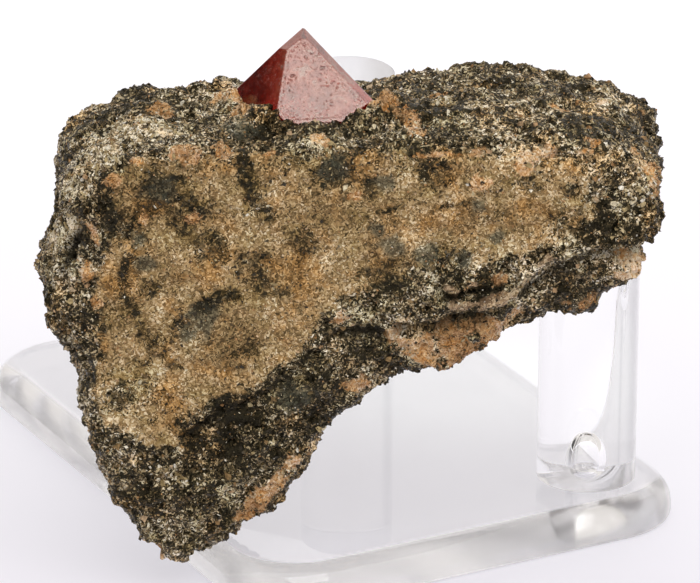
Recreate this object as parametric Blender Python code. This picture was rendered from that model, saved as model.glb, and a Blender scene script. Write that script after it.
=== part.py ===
"""Zircon crystal in a slab of biotite rock, set upright on a clear acrylic stand with three posts.

Every size below is in millimetres.  +Z is up, the front of the rock faces -Y, and the origin is
the centre of the stand's underside.
"""

import math

import bmesh
import bpy
from mathutils import Matrix, Vector, noise

MM = 0.001
GAP = 0.3                      # clear space between two solids that touch

# --- clear stand -----------------------------------------------------------------------------
PLATE_WIDTH = 64.0             # across, 2 1/2 inch
PLATE_DEPTH = 85.6             # front to back, 3 3/8 inch
PLATE_THICKNESS = 4.76         # 3/16 inch sheet
PLATE_CORNER_RADIUS = 11.0
PLATE_TOP_ROUND = 3.6          # polished round along the upper rim
PLATE_FOOT_ROUND = 0.5         # broken edge along the lower rim
STAND_TURN = math.radians(28.04)
POST_DIAMETER = 12.7           # 1/2 inch rod
POST_HEIGHT = 34.2
POST_EDGE = 0.5
POST_PLACES = {                # along the plate's width and depth, from its centre
    "post_right_front": (21.3, -31.3),
    "post_right_back": (20.1, 31.8),
    "post_left": (-21.3, 0.0),
}
DOWEL_HOLE_DIAMETER = 3.4      # blind hole in the foot of each post
DOWEL_HOLE_DEPTH = 6.0
CORNER_STEPS = 8
RIM_STEPS = 6
POST_SEGMENTS = 36
HOLE_SEGMENTS = 16
HOLE_RINGS = 4

PLATE_TOP = PLATE_THICKNESS
POST_FOOT = PLATE_TOP + GAP
POST_TOP = POST_FOOT + POST_HEIGHT

# --- rock slab -------------------------------------------------------------------------------
FRONT_Y = -48.0
BACK_Y = -10.5
BACK_AT_POST_Y = -17.2         # the slab is thinner where it leans on the left post
VOXEL = 1.94                   # size of the rock's faces
RIM_REACH = 1.9                # reach of one face past a post's rim
LEAN_GAP = 0.15                # added to GAP where the rock's side leans on a post

# Outline of the slab at its widest, seen from the front, clockwise from the pointed foot: x, z
SLAB_OUTLINE = (
    (-17.5, 2.6), (-22.8, 6.2), (-25.1, 9.9), (-26.8, 14.6), (-29.2, 20.7), (-30.8, 27.4),
    (-32.2, 34.3), (-34.7, 40.2), (-33.6, 47.0), (-33.3, 53.3), (-29.8, 57.0), (-20.7, 59.4),
    (-9.2, 61.0), (4.0, 60.6), (14.4, 62.2), (24.2, 62.3), (33.3, 61.2), (38.7, 57.8),
    (41.9, 51.5), (39.2, 45.8), (36.8, 40.6), (31.6, 36.8), (24.5, 36.3), (18.2, 32.3),
    (8.5, 28.6), (3.5, 23.6), (-2.5, 16.6), (-7.4, 9.4), (-12.8, 7.0),
)
# Rim of the flat sandy front face, point for point with the outline above: x, z
FACE_OUTLINE = (
    (-20.0, 20.2), (-24.0, 21.4), (-27.0, 22.8), (-28.6, 25.0), (-29.0, 28.5), (-29.1, 32.5),
    (-28.9, 37.0), (-28.5, 41.5), (-28.2, 47.0), (-28.0, 52.5), (-27.5, 58.0), (-22.0, 60.4),
    (-10.0, 60.3), (3.0, 61.6), (13.5, 60.8), (23.0, 60.3), (31.5, 60.2), (37.0, 58.6),
    (38.6, 55.5), (36.8, 52.5), (33.3, 51.0), (29.5, 48.8), (24.5, 46.2), (18.5, 44.4),
    (12.0, 42.0), (4.5, 38.5), (-2.0, 33.5), (-9.5, 28.5), (-16.0, 24.5),
)
# Sections from front to back: share of the slab's depth, share of the way to the full outline,
# and how far the slab's top has dropped
SECTIONS = (
    (0.0, 0.0, 0.0), (0.016, 0.14, 0.0), (0.064, 0.62, 0.0), (0.12, 0.93, 0.0), (0.30, 1.0, 0.0),
    (0.50, 0.95, 0.2), (0.72, 0.80, 1.0), (0.88, 0.62, 5.0), (1.0, 0.36, 10.5),
)
TOP_FROM, TOP_FULL = 46.0, 57.0  # heights between which the drop sets in
# Lumps and hollows that stand out: x, y, z of the middle, radius, height (a hollow is below zero)
LUMPS = (
    (9.0, -38.5, 61.0, 5.5, 1.6),        # feldspar against the crystal, right
    (-9.5, -40.5, 60.5, 4.8, 1.7),       # feldspar against the crystal, left
    (-1.0, -43.6, 60.0, 4.2, 1.0),       # rock against the crystal's front edge
    (16.0, -45.0, 33.5, 6.5, 1.8),       # feldspar mass under the ledge
    (39.8, -42.5, 43.5, 3.0, 2.2),       # pointed lump at the right end
    (33.0, -43.0, 38.5, 3.0, 1.2),
    (33.0, -22.0, 40.5, 6.5, 1.6),       # where the slab rests on the right front post
    (41.0, -42.0, 57.0, 3.5, 1.2),
    (-20.0, -30.0, 57.5, 6.0, 1.3),
    (26.0, -22.0, 61.0, 7.0, 0.9),
    (-34.0, -38.0, 38.0, 4.0, 1.1),
    (-4.0, -46.0, 24.0, 5.0, -1.2),
    (6.0, -45.0, 34.0, 3.5, -1.0),
    (-31.0, -40.0, 50.0, 4.0, -1.1),
    (14.0, -30.0, 60.0, 5.0, -1.2),
    (-26.0, -44.0, 13.0, 3.5, 1.0),
)
# Ledges: height, half width, then x, y, z along the crest
LEDGES = (
    (1.5, 1.7, ((10.6, -46.6, 38.0), (17.9, -46.8, 39.8), (22.1, -46.8, 40.2), (25.0, -46.8, 41.8),
                (27.0, -46.8, 44.6), (30.0, -46.8, 47.0), (33.5, -46.6, 48.6), (38.5, -46.0, 49.4),
                (41.2, -43.5, 50.2))),
    (1.2, 1.6, ((-20.0, -47.2, 13.5), (-12.0, -47.0, 17.0), (-5.0, -46.6, 23.5), (1.0, -46.4, 30.0))),
)

# --- zircon crystal --------------------------------------------------------------------------
CRYSTAL_CENTRE = (-2.3, -34.3, 61.3)
# Pyramid faces: compass turn from the front, steepness (degrees), distance from the centre
PYRAMID_FACES = (
    (7.6, 52.3, 5.61),                   # front
    (87.6, 41.7, 6.44),                  # narrow band along the right edge of the front
    (116.0, 53.9, 5.92),                 # right
    (200.0, 54.0, 7.10),                 # back
    (-112.6, 46.7, 7.06),                # back left
    (-63.5, 62.1, 5.99),                 # left, the steep one
    (-79.5, 29.0, 7.84),                 # flatter shoulder above the left face
    (20.1, 10.6, 8.46),                  # small blunt face at the tip
)
# Upright faces where the crystal enters the rock: compass turn, distance from the centre
PRISM_FACES = (
    (8.3, 7.08),                         # front
    (28.8, 7.84),                        # front right
    (100.0, 8.1),                        # right
    (196.0, 8.1),                        # back
    (-72.0, 8.1),                        # left
    (-30.6, 7.5),                        # front left
)
ROOT_TURNS = (8.0, 100.0, 196.0, -72.0)  # the lower pyramid, buried in the rock
ROOT_STEEPNESS = 128.0
ROOT_DISTANCE = 6.6
ROOT_FLOOR = -4.6                        # the buried end is broken off flat


def clear_scene():
    """Remove every object, so that the file builds the same thing each time."""
    for obj in list(bpy.data.objects):
        bpy.data.objects.remove(obj, do_unlink=True)


def material(name, colour, roughness, transmission=0.0, ior=1.5):
    """A Principled material with one colour (linear red, green, blue)."""
    made = bpy.data.materials.new(name)
    made.use_nodes = True
    shader = made.node_tree.nodes["Principled BSDF"]
    shader.inputs["Base Color"].default_value = (*colour, 1.0)
    shader.inputs["Roughness"].default_value = roughness
    shader.inputs["Metallic"].default_value = 0.0
    shader.inputs["Transmission Weight"].default_value = transmission
    shader.inputs["IOR"].default_value = ior
    made.diffuse_color = (*colour, 1.0)
    return made


def add_object(name, shape, finish):
    """Turn a bmesh in millimetres into a named object in metres."""
    shape.transform(Matrix.Scale(MM, 4))
    bmesh.ops.recalc_face_normals(shape, faces=shape.faces)
    mesh = bpy.data.meshes.new(name)
    shape.to_mesh(mesh)
    shape.free()
    obj = bpy.data.objects.new(name, mesh)
    bpy.context.scene.collection.objects.link(obj)
    if finish is not None:
        mesh.materials.append(finish)
    return obj


def shade_round(obj, degrees=35.0):
    obj.data.shade_smooth()
    obj.data.set_sharp_from_angle(angle=math.radians(degrees))


def smoothstep(low, high, value):
    t = min(max((value - low) / (high - low), 0.0), 1.0)
    return t * t * (3.0 - 2.0 * t)


# --- stand -----------------------------------------------------------------------------------

def rounded_rectangle(width, depth, radius, steps):
    """Corners of a rectangle with round corners, counter-clockwise."""
    points = []
    for quarter, (sx, sy) in enumerate(((1, 1), (-1, 1), (-1, -1), (1, -1))):
        cx, cy = sx * (width / 2 - radius), sy * (depth / 2 - radius)
        for step in range(steps + 1):
            angle = math.pi / 2 * (quarter + step / steps)
            points.append((cx + radius * math.cos(angle), cy + radius * math.sin(angle)))
    return points


def stack_rings(shape, rings):
    """Skin a stack of rings that have the same number of points, and close both ends."""
    loops = [[shape.verts.new(point) for point in ring] for ring in rings]
    count = len(loops[0])
    for low, high in zip(loops, loops[1:]):
        for i in range(count):
            j = (i + 1) % count
            shape.faces.new((low[i], low[j], high[j], high[i]))
    shape.faces.new(loops[0][::-1])
    shape.faces.new(loops[-1])


def edge_profile():
    """Inset and height up the plate's rim: a broken lower edge, then the round upper edge."""
    profile = [(PLATE_FOOT_ROUND, 0.0), (0.0, PLATE_FOOT_ROUND)]
    for step in range(RIM_STEPS + 1):
        angle = math.pi / 2 * step / RIM_STEPS
        inset = PLATE_TOP_ROUND * (1 - math.cos(angle))
        height = PLATE_THICKNESS - PLATE_TOP_ROUND * (1 - math.sin(angle))
        profile.append((inset, height))
    return profile


def build_plate(finish):
    shape = bmesh.new()
    rings = []
    for inset, height in edge_profile():
        ring = rounded_rectangle(PLATE_WIDTH - 2 * inset, PLATE_DEPTH - 2 * inset,
                                 PLATE_CORNER_RADIUS - inset, CORNER_STEPS)
        rings.append([(x, y, height) for x, y in ring])
    stack_rings(shape, rings)
    shape.transform(Matrix.Rotation(STAND_TURN, 4, "Z"))
    shade_round(add_object("stand_base", shape, finish))


def ring_points(radius, height, segments):
    return [(radius * math.cos(2 * math.pi * i / segments),
             radius * math.sin(2 * math.pi * i / segments), height) for i in range(segments)]


def build_post(name, place, finish):
    """A rod with broken edges and a round-ended blind hole in its foot."""
    radius = POST_DIAMETER / 2
    hole = DOWEL_HOLE_DIAMETER / 2
    shape = bmesh.new()
    outer = [(radius - POST_EDGE, 0.0), (radius, POST_EDGE), (radius, POST_HEIGHT - POST_EDGE),
             (radius - POST_EDGE, POST_HEIGHT)]
    loops = [[shape.verts.new(p) for p in ring_points(r, z, POST_SEGMENTS)] for r, z in outer]
    for low, high in zip(loops, loops[1:]):
        for i in range(POST_SEGMENTS):
            j = (i + 1) % POST_SEGMENTS
            shape.faces.new((low[i], low[j], high[j], high[i]))
    shape.faces.new(loops[-1])
    straight = DOWEL_HOLE_DEPTH - hole
    inner = [(hole, 0.0)]
    inner += [(hole * math.cos(math.pi / 2 * k / HOLE_RINGS),
               straight + hole * math.sin(math.pi / 2 * k / HOLE_RINGS)) for k in range(HOLE_RINGS)]
    bores = [[shape.verts.new(p) for p in ring_points(r, z, HOLE_SEGMENTS)] for r, z in inner]
    for low, high in zip(bores, bores[1:]):
        for i in range(HOLE_SEGMENTS):
            j = (i + 1) % HOLE_SEGMENTS
            shape.faces.new((low[j], low[i], high[i], high[j]))
    crown = shape.verts.new((0.0, 0.0, DOWEL_HOLE_DEPTH))
    for i in range(HOLE_SEGMENTS):
        shape.faces.new((bores[-1][(i + 1) % HOLE_SEGMENTS], bores[-1][i], crown))
    foot_edges = [e for e in shape.edges if e.is_boundary]
    bmesh.ops.bridge_loops(shape, edges=foot_edges)
    across, along = place
    turn = Matrix.Rotation(STAND_TURN, 4, "Z")
    shape.transform(turn @ Matrix.Translation((across, along, POST_FOOT)))
    shade_round(add_object(name, shape, finish))


def post_centre(name):
    across, along = POST_PLACES[name]
    cos, sin = math.cos(STAND_TURN), math.sin(STAND_TURN)
    return across * cos - along * sin, across * sin + along * cos


# --- crystal ---------------------------------------------------------------------------------

def face_plane(turn, steepness, distance):
    """Point and outward normal of a crystal face; turn 0 faces the front, +90 faces +X."""
    turn, steepness = math.radians(turn), math.radians(steepness)
    normal = Vector((math.sin(turn) * math.sin(steepness), -math.cos(turn) * math.sin(steepness),
                     math.cos(steepness)))
    return Vector(CRYSTAL_CENTRE) + normal * distance, normal


def crystal_faces(grow):
    """Every face that bounds the crystal, moved out by grow."""
    faces = [face_plane(turn, steep, distance + grow) for turn, steep, distance in PYRAMID_FACES]
    faces += [face_plane(turn, 90.0, distance + grow) for turn, distance in PRISM_FACES]
    faces += [face_plane(turn, ROOT_STEEPNESS, ROOT_DISTANCE + grow) for turn in ROOT_TURNS]
    floor = Vector(CRYSTAL_CENTRE) + Vector((0.0, 0.0, ROOT_FLOOR - grow))
    faces.append((floor, Vector((0.0, 0.0, -1.0))))
    return faces


def crystal_shape(grow=0.0):
    """A block cut back by each crystal face in turn."""
    shape = bmesh.new()
    bmesh.ops.create_cube(shape, size=60.0, matrix=Matrix.Translation(CRYSTAL_CENTRE))
    for point, normal in crystal_faces(grow):
        everything = list(shape.verts) + list(shape.edges) + list(shape.faces)
        cut = bmesh.ops.bisect_plane(shape, geom=everything, dist=1e-5, plane_co=point,
                                     plane_no=normal, clear_outer=True)
        rim = [item for item in cut["geom_cut"] if isinstance(item, bmesh.types.BMEdge)]
        if rim:
            bmesh.ops.contextual_create(shape, geom=rim)
    bmesh.ops.remove_doubles(shape, verts=shape.verts, dist=1e-3)
    return shape


# --- rock ------------------------------------------------------------------------------------

def back_of_slab(x, z):
    """How far back the slab reaches: less behind the foot, where the left post stands."""
    beside_post = smoothstep(4.0, -6.0, x) * smoothstep(47.0, 41.0, z)
    return BACK_Y + (BACK_AT_POST_Y - BACK_Y) * beside_post


def slab_shape():
    """The slab as sections from its flat front face to its back."""
    shape = bmesh.new()
    rings = []
    for depth, share, drop in SECTIONS:
        ring = []
        for (wide_x, wide_z), (face_x, face_z) in zip(SLAB_OUTLINE, FACE_OUTLINE):
            x = face_x + (wide_x - face_x) * share
            z = face_z + (wide_z - face_z) * share - drop * smoothstep(TOP_FROM, TOP_FULL, wide_z)
            ring.append((x, FRONT_Y + depth * (back_of_slab(x, z) - FRONT_Y), z))
        rings.append(ring)
    stack_rings(shape, rings)
    return shape


def even_mesh(obj):
    """Give the object faces of one size."""
    remesh = obj.modifiers.new("even_faces", "REMESH")
    remesh.mode = "VOXEL"
    remesh.voxel_size = VOXEL * MM
    remesh.adaptivity = 0.0
    bpy.context.view_layer.objects.active = obj
    bpy.ops.object.modifier_apply(modifier=remesh.name)


def segment_distance(point, start, end):
    along = end - start
    t = min(max((point - start).dot(along) / along.length_squared, 0.0), 1.0)
    return (point - start - along * t).length


def rock_relief(point, normal):
    """Height in millimetres that the broken rock stands out at a point of the slab."""
    on_face = smoothstep(0.80, 0.96, -normal.y) * smoothstep(-44.5, -46.5, point.y)
    rough = 1.0 - 0.78 * on_face
    height = 1.4 * rough * noise.noise(point / 8.5 + Vector((3.1, 7.7, 1.9)))
    height += 1.35 * rough * noise.noise(point / 4.6 + Vector((11.3, 2.2, 8.4)))
    height += 0.45 * on_face * noise.noise(point / 13.0)
    bed = noise.noise(Vector((point.x / 15.0, point.y / 15.0, point.z / 3.6)))
    height += 1.2 * rough * bed * (1.0 - abs(normal.z))
    for x, y, z, radius, lift in LUMPS:
        distance = (point - Vector((x, y, z))).length
        height += lift * smoothstep(radius, 0.0, distance)
    for lift, half_width, crest in LEDGES:
        near = min(segment_distance(point, Vector(a), Vector(b)) for a, b in zip(crest, crest[1:]))
        height += lift * smoothstep(2.0 * half_width, 0.0, near)
    return height


def clear_of_stand(point):
    """Move a point of the rock out of the plate and the posts it rests on."""
    x, y, z = point
    across = x * math.cos(STAND_TURN) + y * math.sin(STAND_TURN)
    along = y * math.cos(STAND_TURN) - x * math.sin(STAND_TURN)
    over_plate = (abs(across) < PLATE_WIDTH / 2 + RIM_REACH
                  and abs(along) < PLATE_DEPTH / 2 + RIM_REACH)
    if over_plate and z < PLATE_TOP + GAP:
        z = PLATE_TOP + GAP
    for name in POST_PLACES:
        cx, cy = post_centre(name)
        away = math.hypot(x - cx, y - cy)
        radius = POST_DIAMETER / 2
        if name == "post_left":                # the rock leans on this post's side
            stand_off = radius + GAP + LEAN_GAP
            if away < stand_off and z < POST_TOP + GAP + RIM_REACH:
                x, y = cx + (x - cx) * stand_off / away, cy + (y - cy) * stand_off / away
        elif away < radius + RIM_REACH:         # the rock rests on this post's top
            z = max(z, POST_TOP + GAP)
    return Vector((x, y, z))


def build_rock(finish):
    rock = add_object("matrix", slab_shape(), finish)
    even_mesh(rock)
    mesh = rock.data
    moved = []
    for vertex in mesh.vertices:
        point = vertex.co / MM
        moved.append(clear_of_stand(point + vertex.normal * rock_relief(point, vertex.normal)) * MM)
    for vertex, place in zip(mesh.vertices, moved):
        vertex.co = place
    mesh.update()
    socket = add_object("socket_cutter", crystal_shape(GAP), None)
    socket.hide_render = True
    socket.display_type = "WIRE"
    cut = rock.modifiers.new("crystal_socket", "BOOLEAN")
    cut.operation = "DIFFERENCE"
    cut.solver = "EXACT"
    cut.object = socket
    return rock


def build():
    clear_scene()
    acrylic = material("clear_acrylic", (0.93, 0.94, 0.95), 0.03, transmission=1.0, ior=1.49)
    biotite_rock = material("biotite_rock", (0.145, 0.098, 0.052), 0.75)
    zircon = material("red_zircon", (0.36, 0.045, 0.03), 0.08, transmission=0.6, ior=1.92)
    build_plate(acrylic)
    for name, place in POST_PLACES.items():
        build_post(name, place, acrylic.copy())
    add_object("zircon_crystal", crystal_shape(), zircon)
    build_rock(biotite_rock)


build()
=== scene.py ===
"""Looks of the zircon specimen: a red zircon in a slab of biotite rock, propped on a clear stand.

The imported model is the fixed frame.  Sizes are millimetres unless a name says otherwise.
"""

import math

import bmesh
import bpy
import numpy as np
from mathutils import Matrix, Vector, noise


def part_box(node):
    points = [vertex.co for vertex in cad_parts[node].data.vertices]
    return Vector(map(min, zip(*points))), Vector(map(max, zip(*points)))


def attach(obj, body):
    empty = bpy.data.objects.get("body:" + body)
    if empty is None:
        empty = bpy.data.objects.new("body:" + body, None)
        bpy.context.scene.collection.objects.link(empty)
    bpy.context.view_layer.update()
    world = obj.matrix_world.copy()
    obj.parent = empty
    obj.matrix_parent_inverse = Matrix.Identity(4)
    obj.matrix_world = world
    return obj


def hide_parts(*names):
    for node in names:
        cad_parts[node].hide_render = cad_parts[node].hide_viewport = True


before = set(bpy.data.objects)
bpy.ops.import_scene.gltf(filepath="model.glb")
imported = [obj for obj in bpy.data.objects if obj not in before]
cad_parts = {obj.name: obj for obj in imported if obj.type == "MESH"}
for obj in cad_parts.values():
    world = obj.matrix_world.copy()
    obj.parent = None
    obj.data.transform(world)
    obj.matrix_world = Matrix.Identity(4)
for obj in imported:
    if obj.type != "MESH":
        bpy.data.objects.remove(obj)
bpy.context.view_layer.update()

MM = 0.001
RNG = np.random.default_rng(41)

# --- view and studio --------------------------------------------------------------------------
CAMERA_ELEVATION = math.radians(22.18)
CAMERA_ROLL = math.radians(0.22)
CAMERA_TARGET = (3.17, 0.0, 22.5)
CAMERA_DISTANCE = 777.5
SENSOR_WIDTH_MM, LENS_MM = 36.0, 307.85
CLEAR_BOUNCES, GLOSSY_BOUNCES = 28, 20
WORLD_STRENGTH = 0.84
DARK_SIDE = (-0.84, 0.525, 0.143)      # where the light tent is open and dark
FLOOR_GAP = 0.1                        # below the foot of the plate
FLOOR_GLOW = 1.8
FLOOR_FADE = (-0.08, 0.18)             # metres in y over which the paper's painted light gets brighter
GATHERED_LIGHT = (0.016, 0.016, 0.0)   # metres: the middle of a painted pool of light under the plate
GATHERED_REACH = 0.034

# --- stand, as in the solids ------------------------------------------------------------------
STAND_TURN = math.radians(28.04)
PLATE_WIDTH, PLATE_DEPTH, PLATE_THICKNESS = 64.0, 85.6, 4.76
PLATE_CORNER_RADIUS, PLATE_CORNER_STEPS = 11.0, 28
PLATE_TOP_ROUND, PLATE_TOP_STEPS = 3.6, 22
PLATE_FOOT_ROUND, PLATE_FOOT_STEPS = 0.5, 3
POSTS = ("post_right_front", "post_right_back", "post_left")
POST_SIDES = 96
POST_EDGE = 0.5
HOLE_SIDES = 48
HOLE_DIAMETER = 3.4
HOLE_STRAIGHT = 0.4                    # between its two round ends
HOLE_WIDEST = 2.1                      # above the foot of the post
HOLE_UP, HOLE_DOWN = 4.4, 1.8          # how far the round ends reach
HOLE_STEPS = 8
WELD_OVERLAP = 0.2
RIM_ROUGHNESS = 0.13
POST_TOP_ROUGHNESS = 0.6
ACRYLIC_IOR = 1.49

# --- rock ------------------------------------------------------------------------------------
# the finest face that keeps the piece under 200,000 triangles
ROCK_VOXEL = 0.405                     # the size of the slab's faces
CLEAR_OF_NEIGHBOUR = 0.08
BESIDE_PLATE, BESIDE_POST = 0.4, 0.45  # how far beside them the rock is kept clear
SKIN_Y = -48.0                         # the flat front face
FRONT_BEGINS = (-44.0, -46.4)          # y over which the front face begins
LOW_PART = (44.0, 30.0)                # z over which the dark foot of the slab begins
SKIN_TOP = (54.0, 60.0)                # z over which the skin gets thin under its upper edge
TOP_BEGINS = (57.5, 60.5)              # z over which the slab's top begins
GRAIN_ROOM = (0.8, 1.6)                # how far from the stand loose grains begin, and are all there

# Loose flakes: how many, narrowest and widest, thinnest and thickest, how far they lean
BLACK_FLAKES = (16000, (0.11, 0.38), (0.05, 0.11), 0.35)
PALE_FLAKES = (14000, (0.08, 0.30), (0.05, 0.10), 0.40)
GLINTS = (13000, (0.05, 0.12), (0.04, 0.08), 0.60)
BOOKS = (1000, (0.22, 0.55), (0.10, 0.20), 0.35)
# Loose grains: how many, narrowest and widest
GRAINS = (15500, (0.08, 0.26))
LARGE_GRAINS = (420, (0.28, 0.65))

# --- crystal ---------------------------------------------------------------------------------
CRYSTAL_VOXEL = 0.15
GROWTH_STEP = 0.04
PIT_DEPTH = 0.06
GROOVE_DEPTH = 0.10
ZIRCON_IOR = 1.92
# Directions that the crystal's faces look in
FACE_WAYS = {"front": (0.10, -0.78, 0.61), "band": (0.66, -0.03, 0.75), "left": (-0.79, -0.39, 0.47),
             "shoulder": (-0.48, -0.09, 0.87), "brow": (0.06, -0.17, 0.98)}

# --- where the rock's colours and forms are ----------------------------------------------------
# Edge of the sandy ochre skin on the flat front face, clockwise from the top left: x, z
SAND_EDGE = (
    (-25.5, 55.2), (-23.3, 59.0), (-19.1, 59.3), (-14.3, 59.1), (-10.1, 58.4), (-7.5, 60.4),
    (-2.9, 59.4), (2.5, 60.4), (9.1, 60.4), (17.5, 60.5), (23.5, 59.2), (30.7, 59.5),
    (32.8, 52.2), (28.5, 48.4), (24.9, 47.0), (22.0, 46.4), (18.6, 45.0), (14.4, 45.6),
    (10.4, 44.4), (7.0, 42.0), (3.4, 40.6), (1.4, 40.3), (-0.2, 38.1), (-2.9, 34.1),
    (-7.5, 30.0), (-12.4, 27.7), (-16.1, 25.0), (-17.6, 21.5), (-20.0, 21.0), (-23.4, 23.1),
    (-26.9, 24.3), (-28.3, 27.6), (-27.9, 32.9), (-27.4, 38.2), (-27.4, 43.5), (-26.1, 48.7),
)
# Orange feldspar: x, y, z of the middle, radius, how far it stands out
FELDSPAR_SPOTS = (
    (18.5, -48.0, 60.7, 1.3, 0.5), (26.4, -48.0, 60.9, 1.6, 0.7), (24.2, -48.0, 59.3, 1.7, 0.2),
    (19.0, -48.0, 56.0, 1.2, 0.5), (38.9, -42.6, 59.4, 2.3, 0.5), (38.8, -43.8, 55.3, 2.3, 0.2),
    (32.3, -46.5, 61.6, 1.0, 0.3), (33.9, -31.9, 61.8, 1.3, 0.3), (13.8, -30.5, 61.5, 1.3, 0.5),
    (4.0, -48.0, 54.4, 1.4, 0.2), (2.2, -48.0, 60.4, 1.0, 0.4), (37.4, -45.6, 45.4, 2.2, 0.9),
    (36.8, -45.6, 43.8, 1.8, 0.5), (31.3, -45.0, 38.9, 2.2, 0.5), (16.4, -45.5, 34.4, 3.7, 0.6),
    (12.2, -45.5, 33.4, 2.4, 0.4), (20.4, -45.5, 36.0, 2.9, 0.5), (4.4, -45.0, 28.5, 1.6, 0.4),
    (22.6, -45.5, 38.2, 1.6, 0.3), (2.2, -46.8, 38.9, 1.5, 0.4), (8.4, -46.4, 36.0, 1.2, 0.4),
    (9.8, -46.8, 40.4, 0.8, 0.4), (21.4, -47.4, 43.6, 0.9, 0.3), (-10.6, -37.1, 61.4, 1.5, 0.5),
    (-0.8, -47.0, 61.4, 1.5, 0.4), (4.8, -38.6, 62.6, 1.5, 0.2), (-6.8, -47.6, 60.4, 1.0, 0.3),
    (-18.2, -48.0, 60.4, 1.4, 0.3), (-16.0, -48.0, 60.0, 1.6, 0.3), (-12.0, -48.0, 60.0, 1.3, 0.5),
    (-13.0, -46.5, 61.4, 1.1, 0.3), (-10.8, -34.4, 61.0, 1.9, 0.7), (-13.0, -31.0, 60.6, 1.2, 0.4),
    (-9.2, -37.6, 61.6, 1.6, 0.6), (-7.4, -36.6, 61.8, 1.2, 0.4), (-24.0, -47.6, 60.8, 1.0, 0.2),
    (-21.1, -47.8, 60.5, 0.9, 0.2), (-22.5, -48.0, 59.1, 1.2, 0.2), (-26.5, -47.4, 58.8, 1.4, 0.3),
    (-25.2, -48.0, 56.5, 1.2, 0.3), (-21.7, -48.0, 51.3, 0.8, 0.2), (-15.8, -48.0, 51.5, 0.9, 0.3),
    (-20.0, -33.0, 60.0, 1.6, 0.3), (-28.5, -47.4, 44.4, 1.2, 0.4), (-27.6, -48.0, 40.6, 1.0, 0.2),
    (-14.0, -45.5, 18.8, 1.1, 0.3), (-19.0, -45.0, 15.0, 1.2, 0.3), (-22.6, -45.0, 18.4, 1.0, 0.3),
    (24.0, -12.0, 53.0, 4.0, 0.7), (-6.0, -14.0, 47.0, 5.0, 0.8), (10.0, -11.5, 49.0, 3.2, 0.6),
    (-24.0, -18.5, 34.0, 3.4, 0.6), (36.0, -16.0, 50.0, 3.0, 0.6), (-12.0, -18.0, 22.0, 2.6, 0.6),
    (14.0, -22.0, 36.0, 3.6, 0.6), (-31.0, -27.0, 44.0, 2.8, 0.6), (0.0, -26.0, 26.0, 3.0, 0.5),
)
# Pale crests of the two ledges: half width, how far they stand out, then x, y, z along the crest
LEDGE_CRESTS = (
    (0.36, 0.6, ((-6.0, -47.4, 31.4), (-2.0, -47.2, 34.6), (1.0, -47.0, 36.6), (3.4, -47.2, 37.5))),
    (0.50, 0.8, ((9.9, -47.2, 38.2), (12.5, -47.3, 39.4), (15.1, -47.4, 40.0))),
    (0.72, 0.8, ((15.1, -47.4, 40.1), (17.1, -47.5, 40.3), (19.1, -47.5, 40.2), (20.9, -47.6, 40.6))),
    (0.50, 0.8, ((20.9, -47.6, 40.6), (23.3, -47.6, 42.0))),
    (0.44, 0.8, ((23.3, -47.6, 42.0), (24.6, -47.6, 43.9), (26.7, -47.6, 46.2), (30.2, -47.5, 48.0),
                 (32.2, -47.4, 49.2), (36.0, -46.6, 49.4), (38.9, -45.4, 50.3))),
    (0.34, 0.4, ((14.9, -47.8, 42.2), (16.2, -47.8, 41.9), (17.5, -47.8, 42.8), (19.1, -47.8, 43.1))),
)
# Thin feldspar veins: half width, how far they stand out, then x, y, z along the vein
FELDSPAR_VEINS = (
    (1.25, 0.5, ((4.6, -40.0, 61.4), (6.4, -39.0, 61.4), (8.2, -38.6, 61.4), (9.4, -39.8, 61.4),
                 (10.4, -42.2, 61.4), (11.0, -45.0, 61.2))),
    (0.55, 0.3, ((-28.6, -47.4, 51.2), (-27.8, -47.8, 49.8), (-27.4, -48.0, 48.4))),
    (0.70, 0.3, ((-30.0, -46.0, 43.0), (-30.2, -45.6, 40.0), (-30.2, -45.2, 36.5), (-29.8, -45.0, 33.6))),
    (1.10, 0.3, ((-4.0, -44.6, 18.6), (-5.9, -44.6, 15.9), (-7.3, -44.5, 14.0), (-8.8, -44.4, 12.1),
                 (-9.8, -44.3, 10.6))),
    (0.60, 0.3, ((-24.8, -43.6, 11.6), (-22.6, -43.4, 8.4), (-20.2, -43.2, 5.8), (-18.2, -43.2, 4.2))),
    (0.35, 0.2, ((11.0, -48.0, 59.7), (14.2, -48.0, 59.9), (16.4, -48.0, 60.0), (18.0, -48.0, 60.4))),
    (0.35, 0.2, ((27.4, -48.0, 60.0), (30.0, -48.0, 60.2), (32.0, -47.5, 60.2))),
    (0.45, 0.2, ((27.6, -37.2, 62.0), (31.0, -36.9, 62.0), (34.6, -36.8, 61.6))),
    (0.90, 0.5, ((-30.0, -20.0, 52.0), (-18.0, -14.0, 50.0), (-4.0, -12.0, 51.5), (12.0, -11.5, 53.5),
                 (30.0, -12.5, 52.0))),
)
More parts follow.
